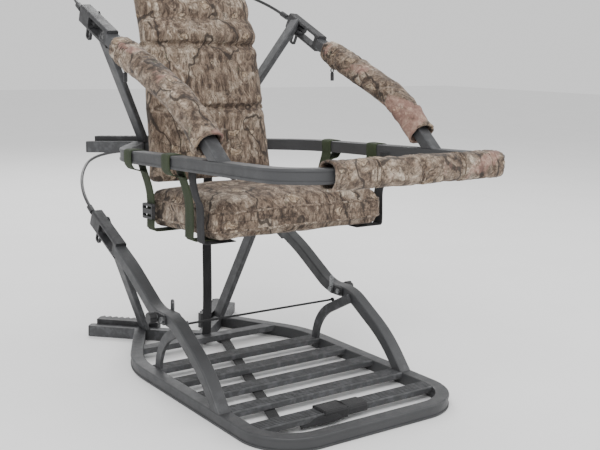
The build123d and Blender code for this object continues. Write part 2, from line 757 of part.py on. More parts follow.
# ---- the two halves -----------------------------------------------------------------------------
def platform_parts():
    envelope = rail_envelope(PLATFORM_SIDE, PLATFORM_FRONT, PLATFORM_CORNER_R)
    lower = (PLATFORM_SIDE, LOWER_BEND, LOWER_TIP, 0.0)
    pieces = {
        "platform_rail": rail(PLATFORM_SIDE, PLATFORM_FRONT, PLATFORM_CORNER_R),
        "platform_v_bracket": v_bracket(),
        "platform_bracket_caps": bracket_caps(),
        "platform_blades": blades(),
        "platform_crossbar": cross_bar(envelope),
        "joint_plates": joint_plates(),
        "joint_bolts": joint_bolts(),
        "joint_knobs": joint_knobs(),
        "cord_eyes": cord_eyes(),
        "cross_cord": cross_cord(),
        "under_strap": under_strap(),
        "strap_anchor": strap_anchor(),
        "foot_strap": foot_strap(),
        "lower_cable": cable("lower_cable", LOWER_CABLE),
        "lower_cable_stops": cable_stops(LOWER_CABLE),
    }
    brace = hoop()
    for index in range(SLAT_COUNT):
        piece = slat(index, envelope)
        if index == 0:
            piece = piece - brace - left_of(brace)
        pieces["slat_%d" % (index + 1)] = piece
    sides = {
        "arch": arch(),
        "hoop": brace,
        "lower_arm": lower_arm(),
        "lower_pocket": placed(pocket_body(), *lower),
        "lower_strut": strut(*lower),
        "lower_plunger": placed(plunger_body(), *lower),
    }
    for name, shape in sides.items():
        pieces[name + "_right"] = shape
        pieces[name + "_left"] = left_of(shape)
    return pieces


def seat_parts():
    upper = (SEAT_FRAME_SIDE, UPPER_BEND, UPPER_TIP, UPPER_FLARE)
    pieces = {
        "seat_rail": rail(SEAT_FRAME_SIDE, SEAT_FRAME_FRONT, SEAT_FRAME_CORNER_R),
        "seat_v_bracket": v_bracket(),
        "seat_bracket_caps": bracket_caps(),
        "seat_blades": blades(),
        "front_pad": front_pad(),
        "seat_cushion": seat_cushion(),
        "seat_back": seat_back(),
        "strap_buckles": strap_buckles(),
    }
    sides = {
        "upper_arm": upper_arm(),
        "upper_pocket": placed(pocket_body(), *upper),
        "upper_strut": strut(*upper),
        "upper_plunger": placed(plunger_body(), *upper),
        "arm_pad": arm_pad(),
        "zipper_pull": zipper_pull(),
        "seat_strap_front": sling(SLING_FRONT_AT),
        "seat_strap_rear": sling(SLING_REAR_AT),
    }
    for name, shape in sides.items():
        pieces[name + "_right"] = shape
        pieces[name + "_left"] = left_of(shape)
    hung = {name: on_seat_frame(shape) for name, shape in pieces.items()}
    hung["tether_strap"] = tether()
    hung["upper_cable"] = cable("upper_cable", UPPER_CABLE)
    hung["upper_cable_stops"] = cable_stops(UPPER_CABLE)
    return hung


os.makedirs("parts", exist_ok=True)
for name, shape in {**platform_parts(), **seat_parts()}.items():
    export(name, shape)
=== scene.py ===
"""The looks of a two-piece climbing tree stand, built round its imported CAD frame."""
import json
from math import cos, pi, radians, sin

import bmesh
import bpy
from mathutils import Matrix, Vector, noise
from mathutils.bvhtree import BVHTree


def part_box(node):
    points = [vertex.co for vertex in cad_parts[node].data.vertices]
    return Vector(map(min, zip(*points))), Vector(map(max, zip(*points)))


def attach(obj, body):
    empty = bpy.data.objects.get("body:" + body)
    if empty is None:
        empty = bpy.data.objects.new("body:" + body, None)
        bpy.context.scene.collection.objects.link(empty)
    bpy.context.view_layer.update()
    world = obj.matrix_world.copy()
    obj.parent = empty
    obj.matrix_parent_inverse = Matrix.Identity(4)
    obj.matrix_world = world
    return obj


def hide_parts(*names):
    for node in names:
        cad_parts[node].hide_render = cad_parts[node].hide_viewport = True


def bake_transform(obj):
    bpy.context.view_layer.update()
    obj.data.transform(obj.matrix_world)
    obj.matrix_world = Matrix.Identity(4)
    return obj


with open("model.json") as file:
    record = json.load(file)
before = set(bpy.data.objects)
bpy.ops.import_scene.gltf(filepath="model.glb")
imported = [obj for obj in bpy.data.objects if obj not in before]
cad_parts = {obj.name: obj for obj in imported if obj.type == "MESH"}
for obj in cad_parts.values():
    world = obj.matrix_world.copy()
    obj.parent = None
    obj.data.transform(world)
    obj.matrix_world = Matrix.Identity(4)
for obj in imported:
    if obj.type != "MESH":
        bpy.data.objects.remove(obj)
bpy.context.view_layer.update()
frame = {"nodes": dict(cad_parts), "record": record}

# ---- the frame's own sizes, in metres ------------------------------------------------------------
TRUNK_Y = 0.5813            # the trunk's axis, back from the origin
SEAT_Z = 0.4764             # the seat frame's underside at the trunk
SEAT_TILT = radians(2.3)    # its front end is higher
ARM_FLARE = radians(3.8)    # the upper arms lean outward
RAIL_W = 0.030
RAIL_H = 0.028
SEAT_SIDE = 0.270           # the seat frame's rail, at its middle
SLAT_W = 0.039
SLAT_T = 0.014
CABLE_D = 0.008
CROSS_CORD_D = 0.005
WEB_T = 0.002
SLING_W = 0.036             # shown a little narrower than its CAD solid
SPARE_W = 0.030             # black webbing beside the front sling
STRAP_W = 0.025

# the cushion, from the trunk axis forward and from the seat frame's underside up
SEAT_HALF_W = 0.233
SEAT_FRONT = 0.738
SEAT_REAR = 0.404
SEAT_UNDER = -0.150
SEAT_TOP = -0.066


def seat_point(x, forward, up):
    """A point of the seat frame's level coordinates, forward of the trunk axis, in the row frame."""
    y = -forward
    return Vector((
        x,
        y * cos(SEAT_TILT) + up * sin(SEAT_TILT) + TRUNK_Y,
        -y * sin(SEAT_TILT) + up * cos(SEAT_TILT) + SEAT_Z,
    ))


def arm_point(side, forward, up):
    """A point on the centre plane of one leaning upper arm; side is 1 or -1."""
    rise = up - RAIL_H
    return seat_point(side * (SEAT_SIDE + rise * sin(ARM_FLARE)), forward, RAIL_H + rise * cos(ARM_FLARE))


# ---- nodes for materials -------------------------------------------------------------------------
class Shader:
    """A material's node tree with short ways to add what the finishes need."""

    def __init__(self, name):
        self.material = bpy.data.materials.new(name)
        self.material.use_nodes = True
        self.tree = self.material.node_tree
        self.surface = self.tree.nodes["Principled BSDF"]
        coords = self.tree.nodes.new("ShaderNodeTexCoord")
        self.place = coords.outputs["Object"]

    def node(self, kind, **values):
        made = self.tree.nodes.new(kind)
        for key, value in values.items():
            if key in made.inputs:
                made.inputs[key].default_value = value
            else:
                setattr(made, key, value)
        return made

    def link(self, source, target):
        self.tree.links.new(source, target)

    def scaled(self, scale, turn=(0, 0, 0), source=None):
        mapping = self.node("ShaderNodeMapping")
        mapping.inputs["Scale"].default_value = scale
        mapping.inputs["Rotation"].default_value = turn
        self.link(source or self.place, mapping.inputs["Vector"])
        return mapping.outputs["Vector"]

    def noise(self, scale, detail=4.0, roughness=0.55, distortion=0.0, source=None):
        made = self.node("ShaderNodeTexNoise", Scale=scale, Detail=detail, Roughness=roughness)
        made.inputs["Distortion"].default_value = distortion
        self.link(source or self.place, made.inputs["Vector"])
        return made.outputs["Fac"]

    def ramp(self, source, *stops, mode="LINEAR"):
        made = self.node("ShaderNodeValToRGB")
        made.color_ramp.interpolation = mode
        band = made.color_ramp.elements
        while len(band) < len(stops):
            band.new(0.5)
        for element, (at, color) in zip(band, stops):
            element.position = at
            element.color = (*color, 1) if hasattr(color, "__len__") else (color, color, color, 1)
        self.link(source, made.inputs["Fac"])
        return made.outputs["Color"]

    def mix(self, fac, first, second, blend="MIX"):
        made = self.node("ShaderNodeMix", data_type="RGBA", blend_type=blend)
        for value, socket in ((fac, made.inputs[0]), (first, made.inputs[6]), (second, made.inputs[7])):
            if hasattr(value, "is_output"):
                self.link(value, socket)
            elif hasattr(value, "__len__"):
                socket.default_value = (*value, 1)
            else:
                socket.default_value = value
        return made.outputs[2]

    def math(self, operation, first, second=0.0):
        made = self.node("ShaderNodeMath", operation=operation)
        for value, socket in ((first, made.inputs[0]), (second, made.inputs[1])):
            if hasattr(value, "is_output"):
                self.link(value, socket)
            else:
                socket.default_value = value
        return made.outputs[0]

    def bump(self, height, strength, distance, under=None):
        made = self.node("ShaderNodeBump", Strength=strength, Distance=distance)
        self.link(height, made.inputs["Height"])
        if under:
            self.link(under, made.inputs["Normal"])
        return made.outputs["Normal"]

    def finish(self, color=None, roughness=None, normal=None, **constants):
        wanted = (("Base Color", color), ("Roughness", roughness), ("Normal", normal))
        for name, value in wanted:
            if value is None:
                continue
            if hasattr(value, "is_output"):
                self.link(value, self.surface.inputs[name])
            else:
                self.surface.inputs[name].default_value = value
        for name, value in constants.items():
            self.surface.inputs[name.replace("_", " ")].default_value = value
        return self.material


def powder_coat(name, dark, light, rough, grain=1800.0):
    """Baked-on textured coating: fine orange peel, soft blotches, and a painted highlight in patches along
    its convex edges.
    """
    s = Shader(name)
    blotch = s.noise(4.0, 3.0)
    color = s.ramp(blotch, (0.3, dark), (0.72, light))
    speck = s.ramp(s.noise(grain, 2.0), (0.4, 0.82), (0.62, 1.15))
    color = s.mix(1.0, color, speck, "MULTIPLY")
    # painted highlight: convex edges, found by pointiness, are lightened in noise patches toward 2.6 times
    # the light tone
    geometry = s.node("ShaderNodeNewGeometry")
    edge = s.ramp(geometry.outputs["Pointiness"], (0.53, 0.0), (0.6, 1.0))
    edge_highlight = s.math("MULTIPLY", edge, s.ramp(s.noise(60.0, 6.0), (0.48, 0.0), (0.62, 0.35)))
    color = s.mix(edge_highlight, color, tuple(2.6 * c for c in light))
    roughness = s.ramp(s.noise(40.0, 5.0), (0.3, rough - 0.08), (0.7, rough + 0.1))
    peel = s.bump(s.noise(grain, 3.0), 0.22, 0.0006)
    return s.finish(color, roughness, s.bump(s.noise(160.0, 3.0), 0.05, 0.001, peel))


def moulded(name, dark, light, rough):
    """Matte moulded plastic with a fine spark texture and scuffs."""
    s = Shader(name)
    scuff = s.noise(1.0, 6.0, source=s.scaled((30.0, 90.0, 140.0)))
    color = s.ramp(scuff, (0.35, dark), (0.75, light))
    roughness = s.ramp(scuff, (0.3, rough), (0.75, rough + 0.14))
    return s.finish(color, roughness, s.bump(s.noise(1500.0, 2.0), 0.15, 0.0004))


def zinc(name):
    s = Shader(name)
    spangle = s.noise(240.0, 4.0)
    color = s.ramp(spangle, (0.3, (0.16, 0.165, 0.17)), (0.7, (0.34, 0.345, 0.35)))
    roughness = s.ramp(s.noise(90.0, 4.0), (0.3, 0.34), (0.7, 0.5))
    return s.finish(color, roughness, s.bump(spangle, 0.1, 0.0003), Metallic=1.0)


def webbing(name, dark, light, along):
    """Flat woven webbing: cross ribs every 1.6 mm, twill within them, faded along its length."""
    s = Shader(name)
    ribs = s.node("ShaderNodeTexWave", wave_type="BANDS", bands_direction=along, Scale=190.0)
    ribs.inputs["Distortion"].default_value = 0.6
    ribs.inputs["Detail"].default_value = 1.0
    s.link(s.place, ribs.inputs["Vector"])
    twill = s.node("ShaderNodeTexWave", wave_type="BANDS", bands_direction="DIAGONAL", Scale=330.0)
    s.link(s.place, twill.inputs["Vector"])
    weave = s.math("ADD", ribs.outputs["Fac"], s.math("MULTIPLY", twill.outputs["Fac"], 0.4))
    fade = s.ramp(s.noise(14.0, 5.0), (0.3, dark), (0.75, light))
    shade = s.ramp(weave, (0.2, 0.62), (0.9, 1.15))
    color = s.mix(1.0, fade, shade, "MULTIPLY")
    return s.finish(color, 0.82, s.bump(weave, 0.55, 0.0007), Sheen_Weight=0.02, Sheen_Roughness=0.4)


def camouflage(name, grain, seed, blush=0.0):
    """Generic printed woodland cloth: bark streaks, cracks, twigs and dry leaves over a fine weave."""
    s = Shader(name)
    shift = s.node("ShaderNodeVectorMath", operation="ADD")
    shift.inputs[1].default_value = (seed, 1.7 * seed, -seed)
    s.link(s.place, shift.inputs[0])
    place = shift.outputs["Vector"]

    def bent_by(scale, reach):
        warp = s.node("ShaderNodeTexNoise", Scale=scale, Detail=3.0)
        s.link(place, warp.inputs["Vector"])
        bend = s.node("ShaderNodeVectorMath", operation="MULTIPLY_ADD")
        bend.inputs[1].default_value = (reach, reach, reach)
        s.link(warp.outputs["Color"], bend.inputs[0])
        s.link(place, bend.inputs[2])
        return bend.outputs["Vector"]

    bent = bent_by(9.0, 0.045)
    crumpled = bent_by(38.0, 0.030)
    streaks = s.scaled(grain, source=bent)
    color = s.ramp(
        s.noise(1.0, 12.0, 0.74, 0.5, streaks),
        (0.33, (0.016, 0.010, 0.007)),
        (0.43, (0.062, 0.040, 0.027)),
        (0.51, (0.150, 0.106, 0.075)),
        (0.59, (0.262, 0.200, 0.148)),
        (0.70, (0.470, 0.395, 0.312)),
    )
    turned = s.scaled(tuple(0.8 * g for g in grain), (0.3, 0.2, 0.8), crumpled)
    pale = s.ramp(
        s.noise(1.0, 12.0, 0.76, 0.9, turned),
        (0.34, (0.030, 0.019, 0.013)),
        (0.45, (0.170, 0.122, 0.086)),
        (0.55, (0.345, 0.280, 0.215)),
        (0.68, (0.600, 0.530, 0.440)),
    )
    zones = s.ramp(s.noise(11.0, 5.0, 0.6, 0.6, bent), (0.50, 0.0), (0.57, 1.0))
    color = s.mix(zones, color, pale)
    fine = s.noise(1.0, 6.0, 0.7, 0.3, s.scaled(tuple(4.2 * g for g in grain), source=bent))
    color = s.mix(1.0, color, s.ramp(fine, (0.36, 0.52), (0.5, 1.0), (0.66, 1.4)), "MULTIPLY")

    crack = s.noise(1.0, 5.0, 0.6, 0.6, s.scaled(tuple(0.9 * g for g in grain), (0.05, 0.1, 0.2), crumpled))
    gap = s.math("ABSOLUTE", s.math("SUBTRACT", crack, 0.5))
    color = s.mix(s.ramp(gap, (0.0, 0.9), (0.014, 0.0)), color, (0.014, 0.009, 0.006))

    leaf = s.node("ShaderNodeTexVoronoi", Scale=30.0, feature="F1", Randomness=1.0)
    s.link(s.scaled((1.0, 0.55, 1.5), (0.5, 0.4, 0.7), crumpled), leaf.inputs["Vector"])
    chosen = s.math("GREATER_THAN", leaf.outputs["Color"], 0.72)
    inside = s.ramp(leaf.outputs["Distance"], (0.36, 1.0), (0.42, 0.0))
    vein = s.noise(1.0, 6.0, 0.7, 0.8, s.scaled((190.0, 70.0, 120.0), (0.2, 0.9, 0.4), crumpled))
    blade = s.ramp(
        vein,
        (0.36, (0.070, 0.045, 0.028)),
        (0.50, (0.250, 0.180, 0.120)),
        (0.66, (0.500, 0.420, 0.320)),
    )
    color = s.mix(s.math("MULTIPLY", chosen, inside), color, blade)
    rim = s.ramp(leaf.outputs["Distance"], (0.34, 0.0), (0.40, 1.0), (0.45, 0.0))
    color = s.mix(s.math("MULTIPLY", s.math("MULTIPLY", chosen, rim), 0.75), color, (0.016, 0.010, 0.007))

    twig = s.node("ShaderNodeTexWave", wave_type="BANDS", bands_direction="X", Scale=3.8)
    twig.inputs["Distortion"].default_value = 19.0
    twig.inputs["Detail"].default_value = 4.0
    twig.inputs["Detail Scale"].default_value = 1.3
    s.link(s.scaled((1.0, 1.0, 0.55), (0.0, 0.5, 0.0), bent), twig.inputs["Vector"])
    color = s.mix(s.ramp(twig.outputs["Fac"], (0.972, 0.0), (0.990, 0.85)), color, (0.020, 0.013, 0.009))

    lichen = s.ramp(s.noise(19.0, 6.0, 0.7, 0.0, bent), (0.66, 0.0), (0.72, 0.5))
    color = s.mix(lichen, color, (0.150, 0.180, 0.110))
    rust = s.ramp(s.noise(8.0, 4.0, 0.6, 0.5, place), (0.58, 0.0), (0.62, blush))
    color = s.mix(rust, color, (0.400, 0.215, 0.175))

    threads = []
    for axis in ("X", "Y", "Z"):
        wave = s.node("ShaderNodeTexWave", wave_type="BANDS", bands_direction=axis, Scale=280.0)
        s.link(s.place, wave.inputs["Vector"])
        threads.append(wave.outputs["Fac"])
    weave = s.math("ADD", s.math("ADD", threads[0], threads[1]), threads[2])
    color = s.mix(1.0, color, s.ramp(s.math("MULTIPLY", weave, 0.33), (0.1, 0.84), (0.9, 1.08)), "MULTIPLY")
    fold = s.bump(s.noise(55.0, 4.0), 0.2, 0.0025)
    normal = s.bump(weave, 0.25, 0.0004, fold)
    return s.finish(color, 0.88, normal, Sheen_Weight=0.06, Sheen_Roughness=0.5)


FRAME_PAINT = powder_coat("frame_paint", (0.034, 0.035, 0.037), (0.045, 0.046, 0.049), 0.5)
BLACK_PAINT = powder_coat("black_paint", (0.012, 0.012, 0.013), (0.024, 0.024, 0.026), 0.5)
SLAT_PAINT = powder_coat("slat_paint", (0.038, 0.039, 0.041), (0.050, 0.051, 0.054), 0.6, 900.0)
BLACK_PLASTIC = moulded("black_plastic", (0.012, 0.012, 0.013), (0.03, 0.03, 0.032), 0.46)
JACKET = moulded("cable_jacket", (0.010, 0.010, 0.011), (0.022, 0.022, 0.024), 0.34)
ZINC = zinc("zinc_steel")
BLACK_WEB = webbing("black_webbing", (0.010, 0.010, 0.011), (0.026, 0.026, 0.028), "Z")
BLACK_WEB_FLAT = webbing("black_webbing_flat", (0.012, 0.012, 0.013), (0.035, 0.035, 0.037), "Y")
GREEN_WEB = webbing("green_webbing", (0.014, 0.023, 0.007), (0.032, 0.046, 0.015), "Z")
CAMO_BARK = camouflage("camo_bark", (62.0, 62.0, 15.0), 0.0)
CAMO_SEAT = camouflage("camo_seat", (64.0, 40.0, 26.0), 3.1)
CAMO_SLEEVE = camouflage("camo_sleeve", (44.0, 34.0, 44.0), 6.4, 0.4)
PIPING = camouflage("camo_piping", (90.0, 90.0, 90.0), 1.2)


# ---- meshes --------------------------------------------------------------------------------------
def made(name, vertices, faces, material, smooth=True):
    mesh = bpy.data.meshes.new(name)
    mesh.from_pydata([tuple(v) for v in vertices], [], faces)
    mesh.validate()
    body = bmesh.new()
    body.from_mesh(mesh)
    bmesh.ops.recalc_face_normals(body, faces=body.faces)
    body.to_mesh(mesh)
    body.free()
    mesh.materials.append(material)
    for face in mesh.polygons:
        face.use_smooth = smooth
    piece = bpy.data.objects.new(name, mesh)
    bpy.context.scene.collection.objects.link(piece)
    return piece


def apply_modifiers(piece):
    evaluated = piece.evaluated_get(bpy.context.evaluated_depsgraph_get())
    mesh = bpy.data.meshes.new_from_object(evaluated)
    piece.modifiers.clear()
    piece.data = mesh
    for face in mesh.polygons:
        face.use_smooth = True
    return piece


def loop_of(count, closed):
    return [(i, (i + 1) % count) for i in range(count if closed else count - 1)]


def skin(rings, closed_round=True, closed_along=False):
    """Faces between rings of points, each ring with the same count."""
    count = len(rings[0])
    vertices = [point for ring in rings for point in ring]
    faces = []
    for a, b in loop_of(len(rings), closed_along):
        for i, j in loop_of(count, closed_round):
            faces.append((a * count + i, a * count + j, b * count + j, b * count + i))
    return vertices, faces


def along_path(points, step):
    """Evenly spaced points on a smooth line through a few points."""
    curve = []
    for i in range(len(points) - 1):
        p0 = points[max(i - 1, 0)]
        p1, p2 = points[i], points[i + 1]
        p3 = points[min(i + 2, len(points) - 1)]
        parts = max(2, int((p2 - p1).length / step))
        for k in range(parts):
            t = k / parts
            curve.append(0.5 * (
                2 * p1 + (p2 - p0) * t + (2 * p0 - 5 * p1 + 4 * p2 - p3) * t * t
                + (3 * p1 - p0 - 3 * p2 + p3) * t ** 3
            ))
    curve.append(points[-1])
    return curve


def directions(points):
    out = []
    for i in range(len(points)):
        ahead = points[min(i + 1, len(points) - 1)] - points[max(i - 1, 0)]
        out.append(ahead.normalized())
    return out


def ribbon(name, points, across, width, material, step=0.006, thickness=WEB_T):
    """Flat webbing along a line; across is the direction of its width."""
    line = along_path(list(points), step)
    across = Vector(across).normalized()
    rings = []
    for point, heading in zip(line, directions(line)):
        side = (across - heading * across.dot(heading)).normalized()
        normal = heading.cross(side)
        ring = []
        for u, v in ((-1, -0.4), (-0.96, -1), (-0.5, -1), (0, -1), (0.5, -1), (0.96, -1), (1, -0.4),
                     (1, 0.4), (0.96, 1), (0.5, 1), (0, 1), (-0.5, 1), (-0.96, 1), (-1, 0.4)):
            ring.append(point + side * (u * width / 2) + normal * (v * thickness / 2))
        rings.append(ring)
    vertices, faces = skin(rings)
    count = len(rings[0])
    faces.append(tuple(range(count)))
    faces.append(tuple(range(len(vertices) - count, len(vertices)))[::-1])
    return made(name, vertices, faces, material)


def tube_along(name, points, radius, material, sides=12, step=0.004):
    line = along_path(list(points), step)
    rings = []
    side = Vector((0, 0, 1))
    for point, heading in zip(line, directions(line)):
        side = side - heading * side.dot(heading)
        side = side.normalized() if side.length > 1e-6 else heading.orthogonal().normalized()
        up = heading.cross(side)
        rings.append([point + (side * cos(a) + up * sin(a)) * radius
                      for a in (2 * pi * k / sides for k in range(sides))])
    vertices, faces = skin(rings)
    faces.append(tuple(range(sides)))
    faces.append(tuple(range(len(vertices) - sides, len(vertices)))[::-1])
    return made(name, vertices, faces, material)


# ---- stuffed pieces ------------------------------------------------------------------------------
CLOTH_VOXEL = 0.0055
CLOTH_PRESSURE = 4.0
CLOTH_FRAMES = 20


def puffed(name, box_low, box_high, material, cap, place):
    """A cushion: a box swelled as cloth under pressure, its movement capped, then smoothed.

    place carries each point of the swelled box to where it belongs.
    """
    low, high = Vector(box_low), Vector(box_high)
    centre = (low + high) / 2
    size = high - low
    body = bmesh.new()
    bmesh.ops.create_cube(body, size=1.0)
    bmesh.ops.scale(body, vec=size, verts=body.verts)
    bmesh.ops.bevel(body, geom=body.edges, offset=min(size) * 0.2, segments=3, affect="EDGES")
    mesh = bpy.data.meshes.new(name)
    body.to_mesh(mesh)
    body.free()
    mesh.materials.append(material)
    piece = bpy.data.objects.new(name, mesh)
    bpy.context.scene.collection.objects.link(piece)
    remesh = piece.modifiers.new("remesh", "REMESH")
    remesh.mode = "VOXEL"
    remesh.voxel_size = CLOTH_VOXEL
    apply_modifiers(piece)
    swell(piece, cap)
    sub = piece.modifiers.new("sub", "SUBSURF")
    sub.levels = 1
    sub.render_levels = 1
    apply_modifiers(piece)
    for vertex in piece.data.vertices:
        vertex.co = place(vertex.co + centre)
    return piece


def swell(piece, cap):
    """Lets cloth pressure move the mesh, no point further than cap."""
    before = [v.co.copy() for v in piece.data.vertices]
    cloth = piece.modifiers.new("cloth", "CLOTH")
    cloth.settings.quality = 6
    cloth.settings.mass = 0.25
    cloth.settings.tension_stiffness = 14
    cloth.settings.compression_stiffness = 14
    cloth.settings.shear_stiffness = 6
    cloth.settings.bending_stiffness = 0.4
    cloth.settings.use_pressure = True
    cloth.settings.uniform_pressure_force = CLOTH_PRESSURE
    cloth.settings.effector_weights.gravity = 0
    cloth.point_cache.frame_start = 1
    cloth.point_cache.frame_end = CLOTH_FRAMES
    for frame_number in range(1, CLOTH_FRAMES + 1):
        bpy.context.scene.frame_set(frame_number)
    evaluated = piece.evaluated_get(bpy.context.evaluated_depsgraph_get())
    after = [v.co.copy() for v in evaluated.to_mesh().vertices]
    evaluated.to_mesh_clear()
    piece.modifiers.clear()
    for vertex, old, new in zip(piece.data.vertices, before, after):
        move = new - old
        if move.length > cap:
            move = move * (cap / move.length)
        vertex.co = old + move
    bpy.context.scene.frame_set(1)


def rumple(piece, amount, scale, seed):
    """Soft creases: moves each point along its normal by smooth seeded noise."""
    normals = [v.normal.copy() for v in piece.data.vertices]
    for vertex, normal in zip(piece.data.vertices, normals):
        p = Vector((vertex.co.x * scale[0], vertex.co.y * scale[1], vertex.co.z * scale[2]))
        fold = noise.fractal(p + Vector((seed, 0, -seed)), 0.9, 2.1, 3)
        crease = -abs(noise.noise(p * 0.6 + Vector((0, seed, seed)))) ** 0.6
        vertex.co += normal * amount * (0.55 * fold + 0.6 * crease)
    piece.data.update()


SLEEVE_SIDES = 72
SLEEVE_WALL = 0.005
SEAM_R = 0.0011


def sleeve(name, line, radius, creases, rings_at, seams, flare, seed):
    """A padded tube open at both ends, on a line of points.

    creases are (distance, angle, depth, width) folds, rings_at are sewn-in waists and seams are
    raised rows of piping, all by distance along the line; flare opens its two ends.
    """
    travelled = [0.0]
    for a, b in zip(line, line[1:]):
        travelled.append(travelled[-1] + (b - a).length)
    total = travelled[-1]
    outer, inner = [], []
    side = Vector((1, 0, 0)) if abs(directions(line)[0].x) < 0.9 else Vector((0, 0, 1))
    for point, heading, s in zip(line, directions(line), travelled):
        side = (side - heading * side.dot(heading)).normalized()
        up = side.cross(heading)
        from_start, from_end = s, total - s
        swell_out = 1.0 - 0.10 * (1 - min(from_start, 0.03) / 0.03) - 0.10 * (1 - min(from_end, 0.03) / 0.03)
        swell_out += flare[0] * max(0.0, 1 - from_start / 0.035) ** 2
        swell_out += flare[1] * max(0.0, 1 - from_end / 0.035) ** 2
        for at in rings_at:
            near = abs(s - at)
            swell_out -= 0.10 * max(0.0, 1 - near / 0.007) ** 1.5
            swell_out += 0.03 * max(0.0, 1 - abs(near - 0.014) / 0.012)
        ring_out, ring_in = [], []
        for k in range(SLEEVE_SIDES):
            angle = 2 * pi * k / SLEEVE_SIDES
            c, n = cos(angle), sin(angle)
            square = (abs(c) ** 2.6 + abs(n) ** 2.6) ** (-1 / 2.6)
            r = radius * swell_out * square
            for at, centre_angle, depth, width in creases:
                away = abs((angle - centre_angle + pi) % (2 * pi) - pi)
                bend = at + 0.012 * sin(3 * angle + seed)
                if away < width:
                    fade = cos(away / width * pi / 2)
                    r -= depth * fade * max(0.0, 1 - abs(s - bend) / 0.009) ** 1.3
                    r += 0.45 * depth * fade * max(0.0, 1 - abs(abs(s - bend) - 0.016) / 0.014)
            spot = Vector((s * 26 + seed, c * 2.2, n * 2.2))
            r += 0.0019 * noise.fractal(spot, 0.8, 2.0, 4)
            direction = side * c + up * n
            ring_out.append(point + direction * r)
            ring_in.append(point + direction * (r - SLEEVE_WALL))
        outer.append(ring_out)
        inner.append(ring_in)
    rings = outer + inner[::-1]
    vertices, faces = skin(rings, closed_along=True)
    piece = made(name, vertices, faces, CAMO_SLEEVE)
    for number, at in enumerate(seams):
        nearest = min(range(len(travelled)), key=lambda i: abs(travelled[i] - at))
        around = outer[nearest] + outer[nearest][:1]
        seam = tube_along("%s_seam_%d" % (name, number + 1), around, SEAM_R, PIPING, 6, 0.02)
        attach(seam, "seat")
    return piece


# ---- camera, cords ---------------------------------------------------------------------------------
def set_camera():
    """From the front left and a little above the seat, with a slight roll."""
    turn, dip, roll = radians(-35.484), radians(7.69), radians(1.007)
    ahead = Vector((-sin(turn), cos(turn), 0))
    right = Vector((cos(turn), sin(turn), 0))
    up = Vector((0, 0, 1))
    looking = ahead * cos(dip) - up * sin(dip)
    over = ahead * sin(dip) + up * cos(dip)
    rolled_right = right * cos(roll) + over * sin(roll)
    rolled_up = over * cos(roll) - right * sin(roll)
    data = bpy.data.cameras.new("camera")
    data.sensor_width = 36.0
    data.lens = 58.05
    data.shift_y = -0.075
    data.clip_start = 0.05
    seen_from = bpy.data.objects.new("camera", data)
    axes = Matrix((rolled_right, rolled_up, -looking)).transposed()
    seen_from.matrix_world = Matrix.Translation((-1.1945, -1.8025, 0.7477)) @ axes.to_4x4()
    bpy.context.scene.collection.objects.link(seen_from)
    bpy.context.scene.camera = seen_from


LOWER_CABLE = [
    (0.2390, -0.2441, 0.3019),
    (0.2390, -0.1434, 0.3461),
    (0.2260, -0.0620, 0.3840),
    (0.1880, 0.0240, 0.4180),
    (0.1220, 0.1140, 0.4440),
    (0.0000, 0.1700, 0.4520),
]
UPPER_CABLE = [
    (0.2884, -0.3122, 0.7946),
    (0.2917, -0.2117, 0.8392),
    (0.2720, -0.1280, 0.8760),
    (0.2260, -0.0300, 0.9120),
    (0.1460, 0.0920, 0.9440),
    (0.0000, 0.1700, 0.9580),
]


def nurbs(name, points, diameter, material):
    data = bpy.data.curves.new(name, "CURVE")
    data.dimensions = "3D"
    data.bevel_depth = diameter / 2
    data.bevel_resolution = 5
    data.resolution_u = 16
    data.use_fill_caps = True
    spline = data.splines.new("NURBS")
    spline.points.add(len(points) - 1)
    for slot, point in zip(spline.points, points):
        slot.co = (*point, 1)
    spline.order_u = 3
    spline.use_endpoint_u = True
    data.materials.append(material)
    piece = bpy.data.objects.new(name, data)
    bpy.context.scene.collection.objects.link(piece)
    return piece


def cable(node, half, body):
    """One wire rope loop round the trunk, from the right pocket to the left one."""
    right = [(x, y + TRUNK_Y, z) for x, y, z in half]
    left = [(-x, y, z) for x, y, z in reversed(right[:-1])]
    piece = nurbs(node + "_loop", right + left, CABLE_D, JACKET)
    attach(piece, body)
    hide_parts(node)
    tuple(right[0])


def cross_cord():
    """Thin taut cord from one joint to the other, with a knot at each eye."""
    low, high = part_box("cross_cord")
    middle = (low + high) / 2
    knot = 0.007
    ends = (low.x + knot, high.x - knot)
    points = [(ends[0] + (ends[1] - ends[0]) * t, middle.y, middle.z) for t in (0, 0.2, 0.5, 0.8, 1)]
    piece = nurbs("cross_cord_line", points, CROSS_CORD_D, BLACK_WEB)
    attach(piece, "platform")
    for x, way in ((ends[0], -1), (ends[1], 1)):
        turns = [
            Vector((x + way * (0.0005 + 0.0055 * t), middle.y + 0.0027 * cos(t * 4.2 * pi),
                    middle.z + 0.0027 * sin(t * 4.2 * pi)))
            for t in (k / 16 for k in range(17))
        ]
        tag = "left" if way < 0 else "right"
        tied = tube_along("cross_cord_knot_" + tag, turns, 0.0021, BLACK_WEB, 8, 0.003)
        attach(tied, "platform")
    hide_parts("cross_cord")
    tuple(points[0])


# ---- soft goods ----------------------------------------------------------------------------------
SEAT_INSET = 0.005          # the cushion starts smaller, because it swells
SEAT_CROWN = 0.020
SEAT_WAIST = 0.006
SEAT_LIP = 0.010
WELT_R = 0.0024


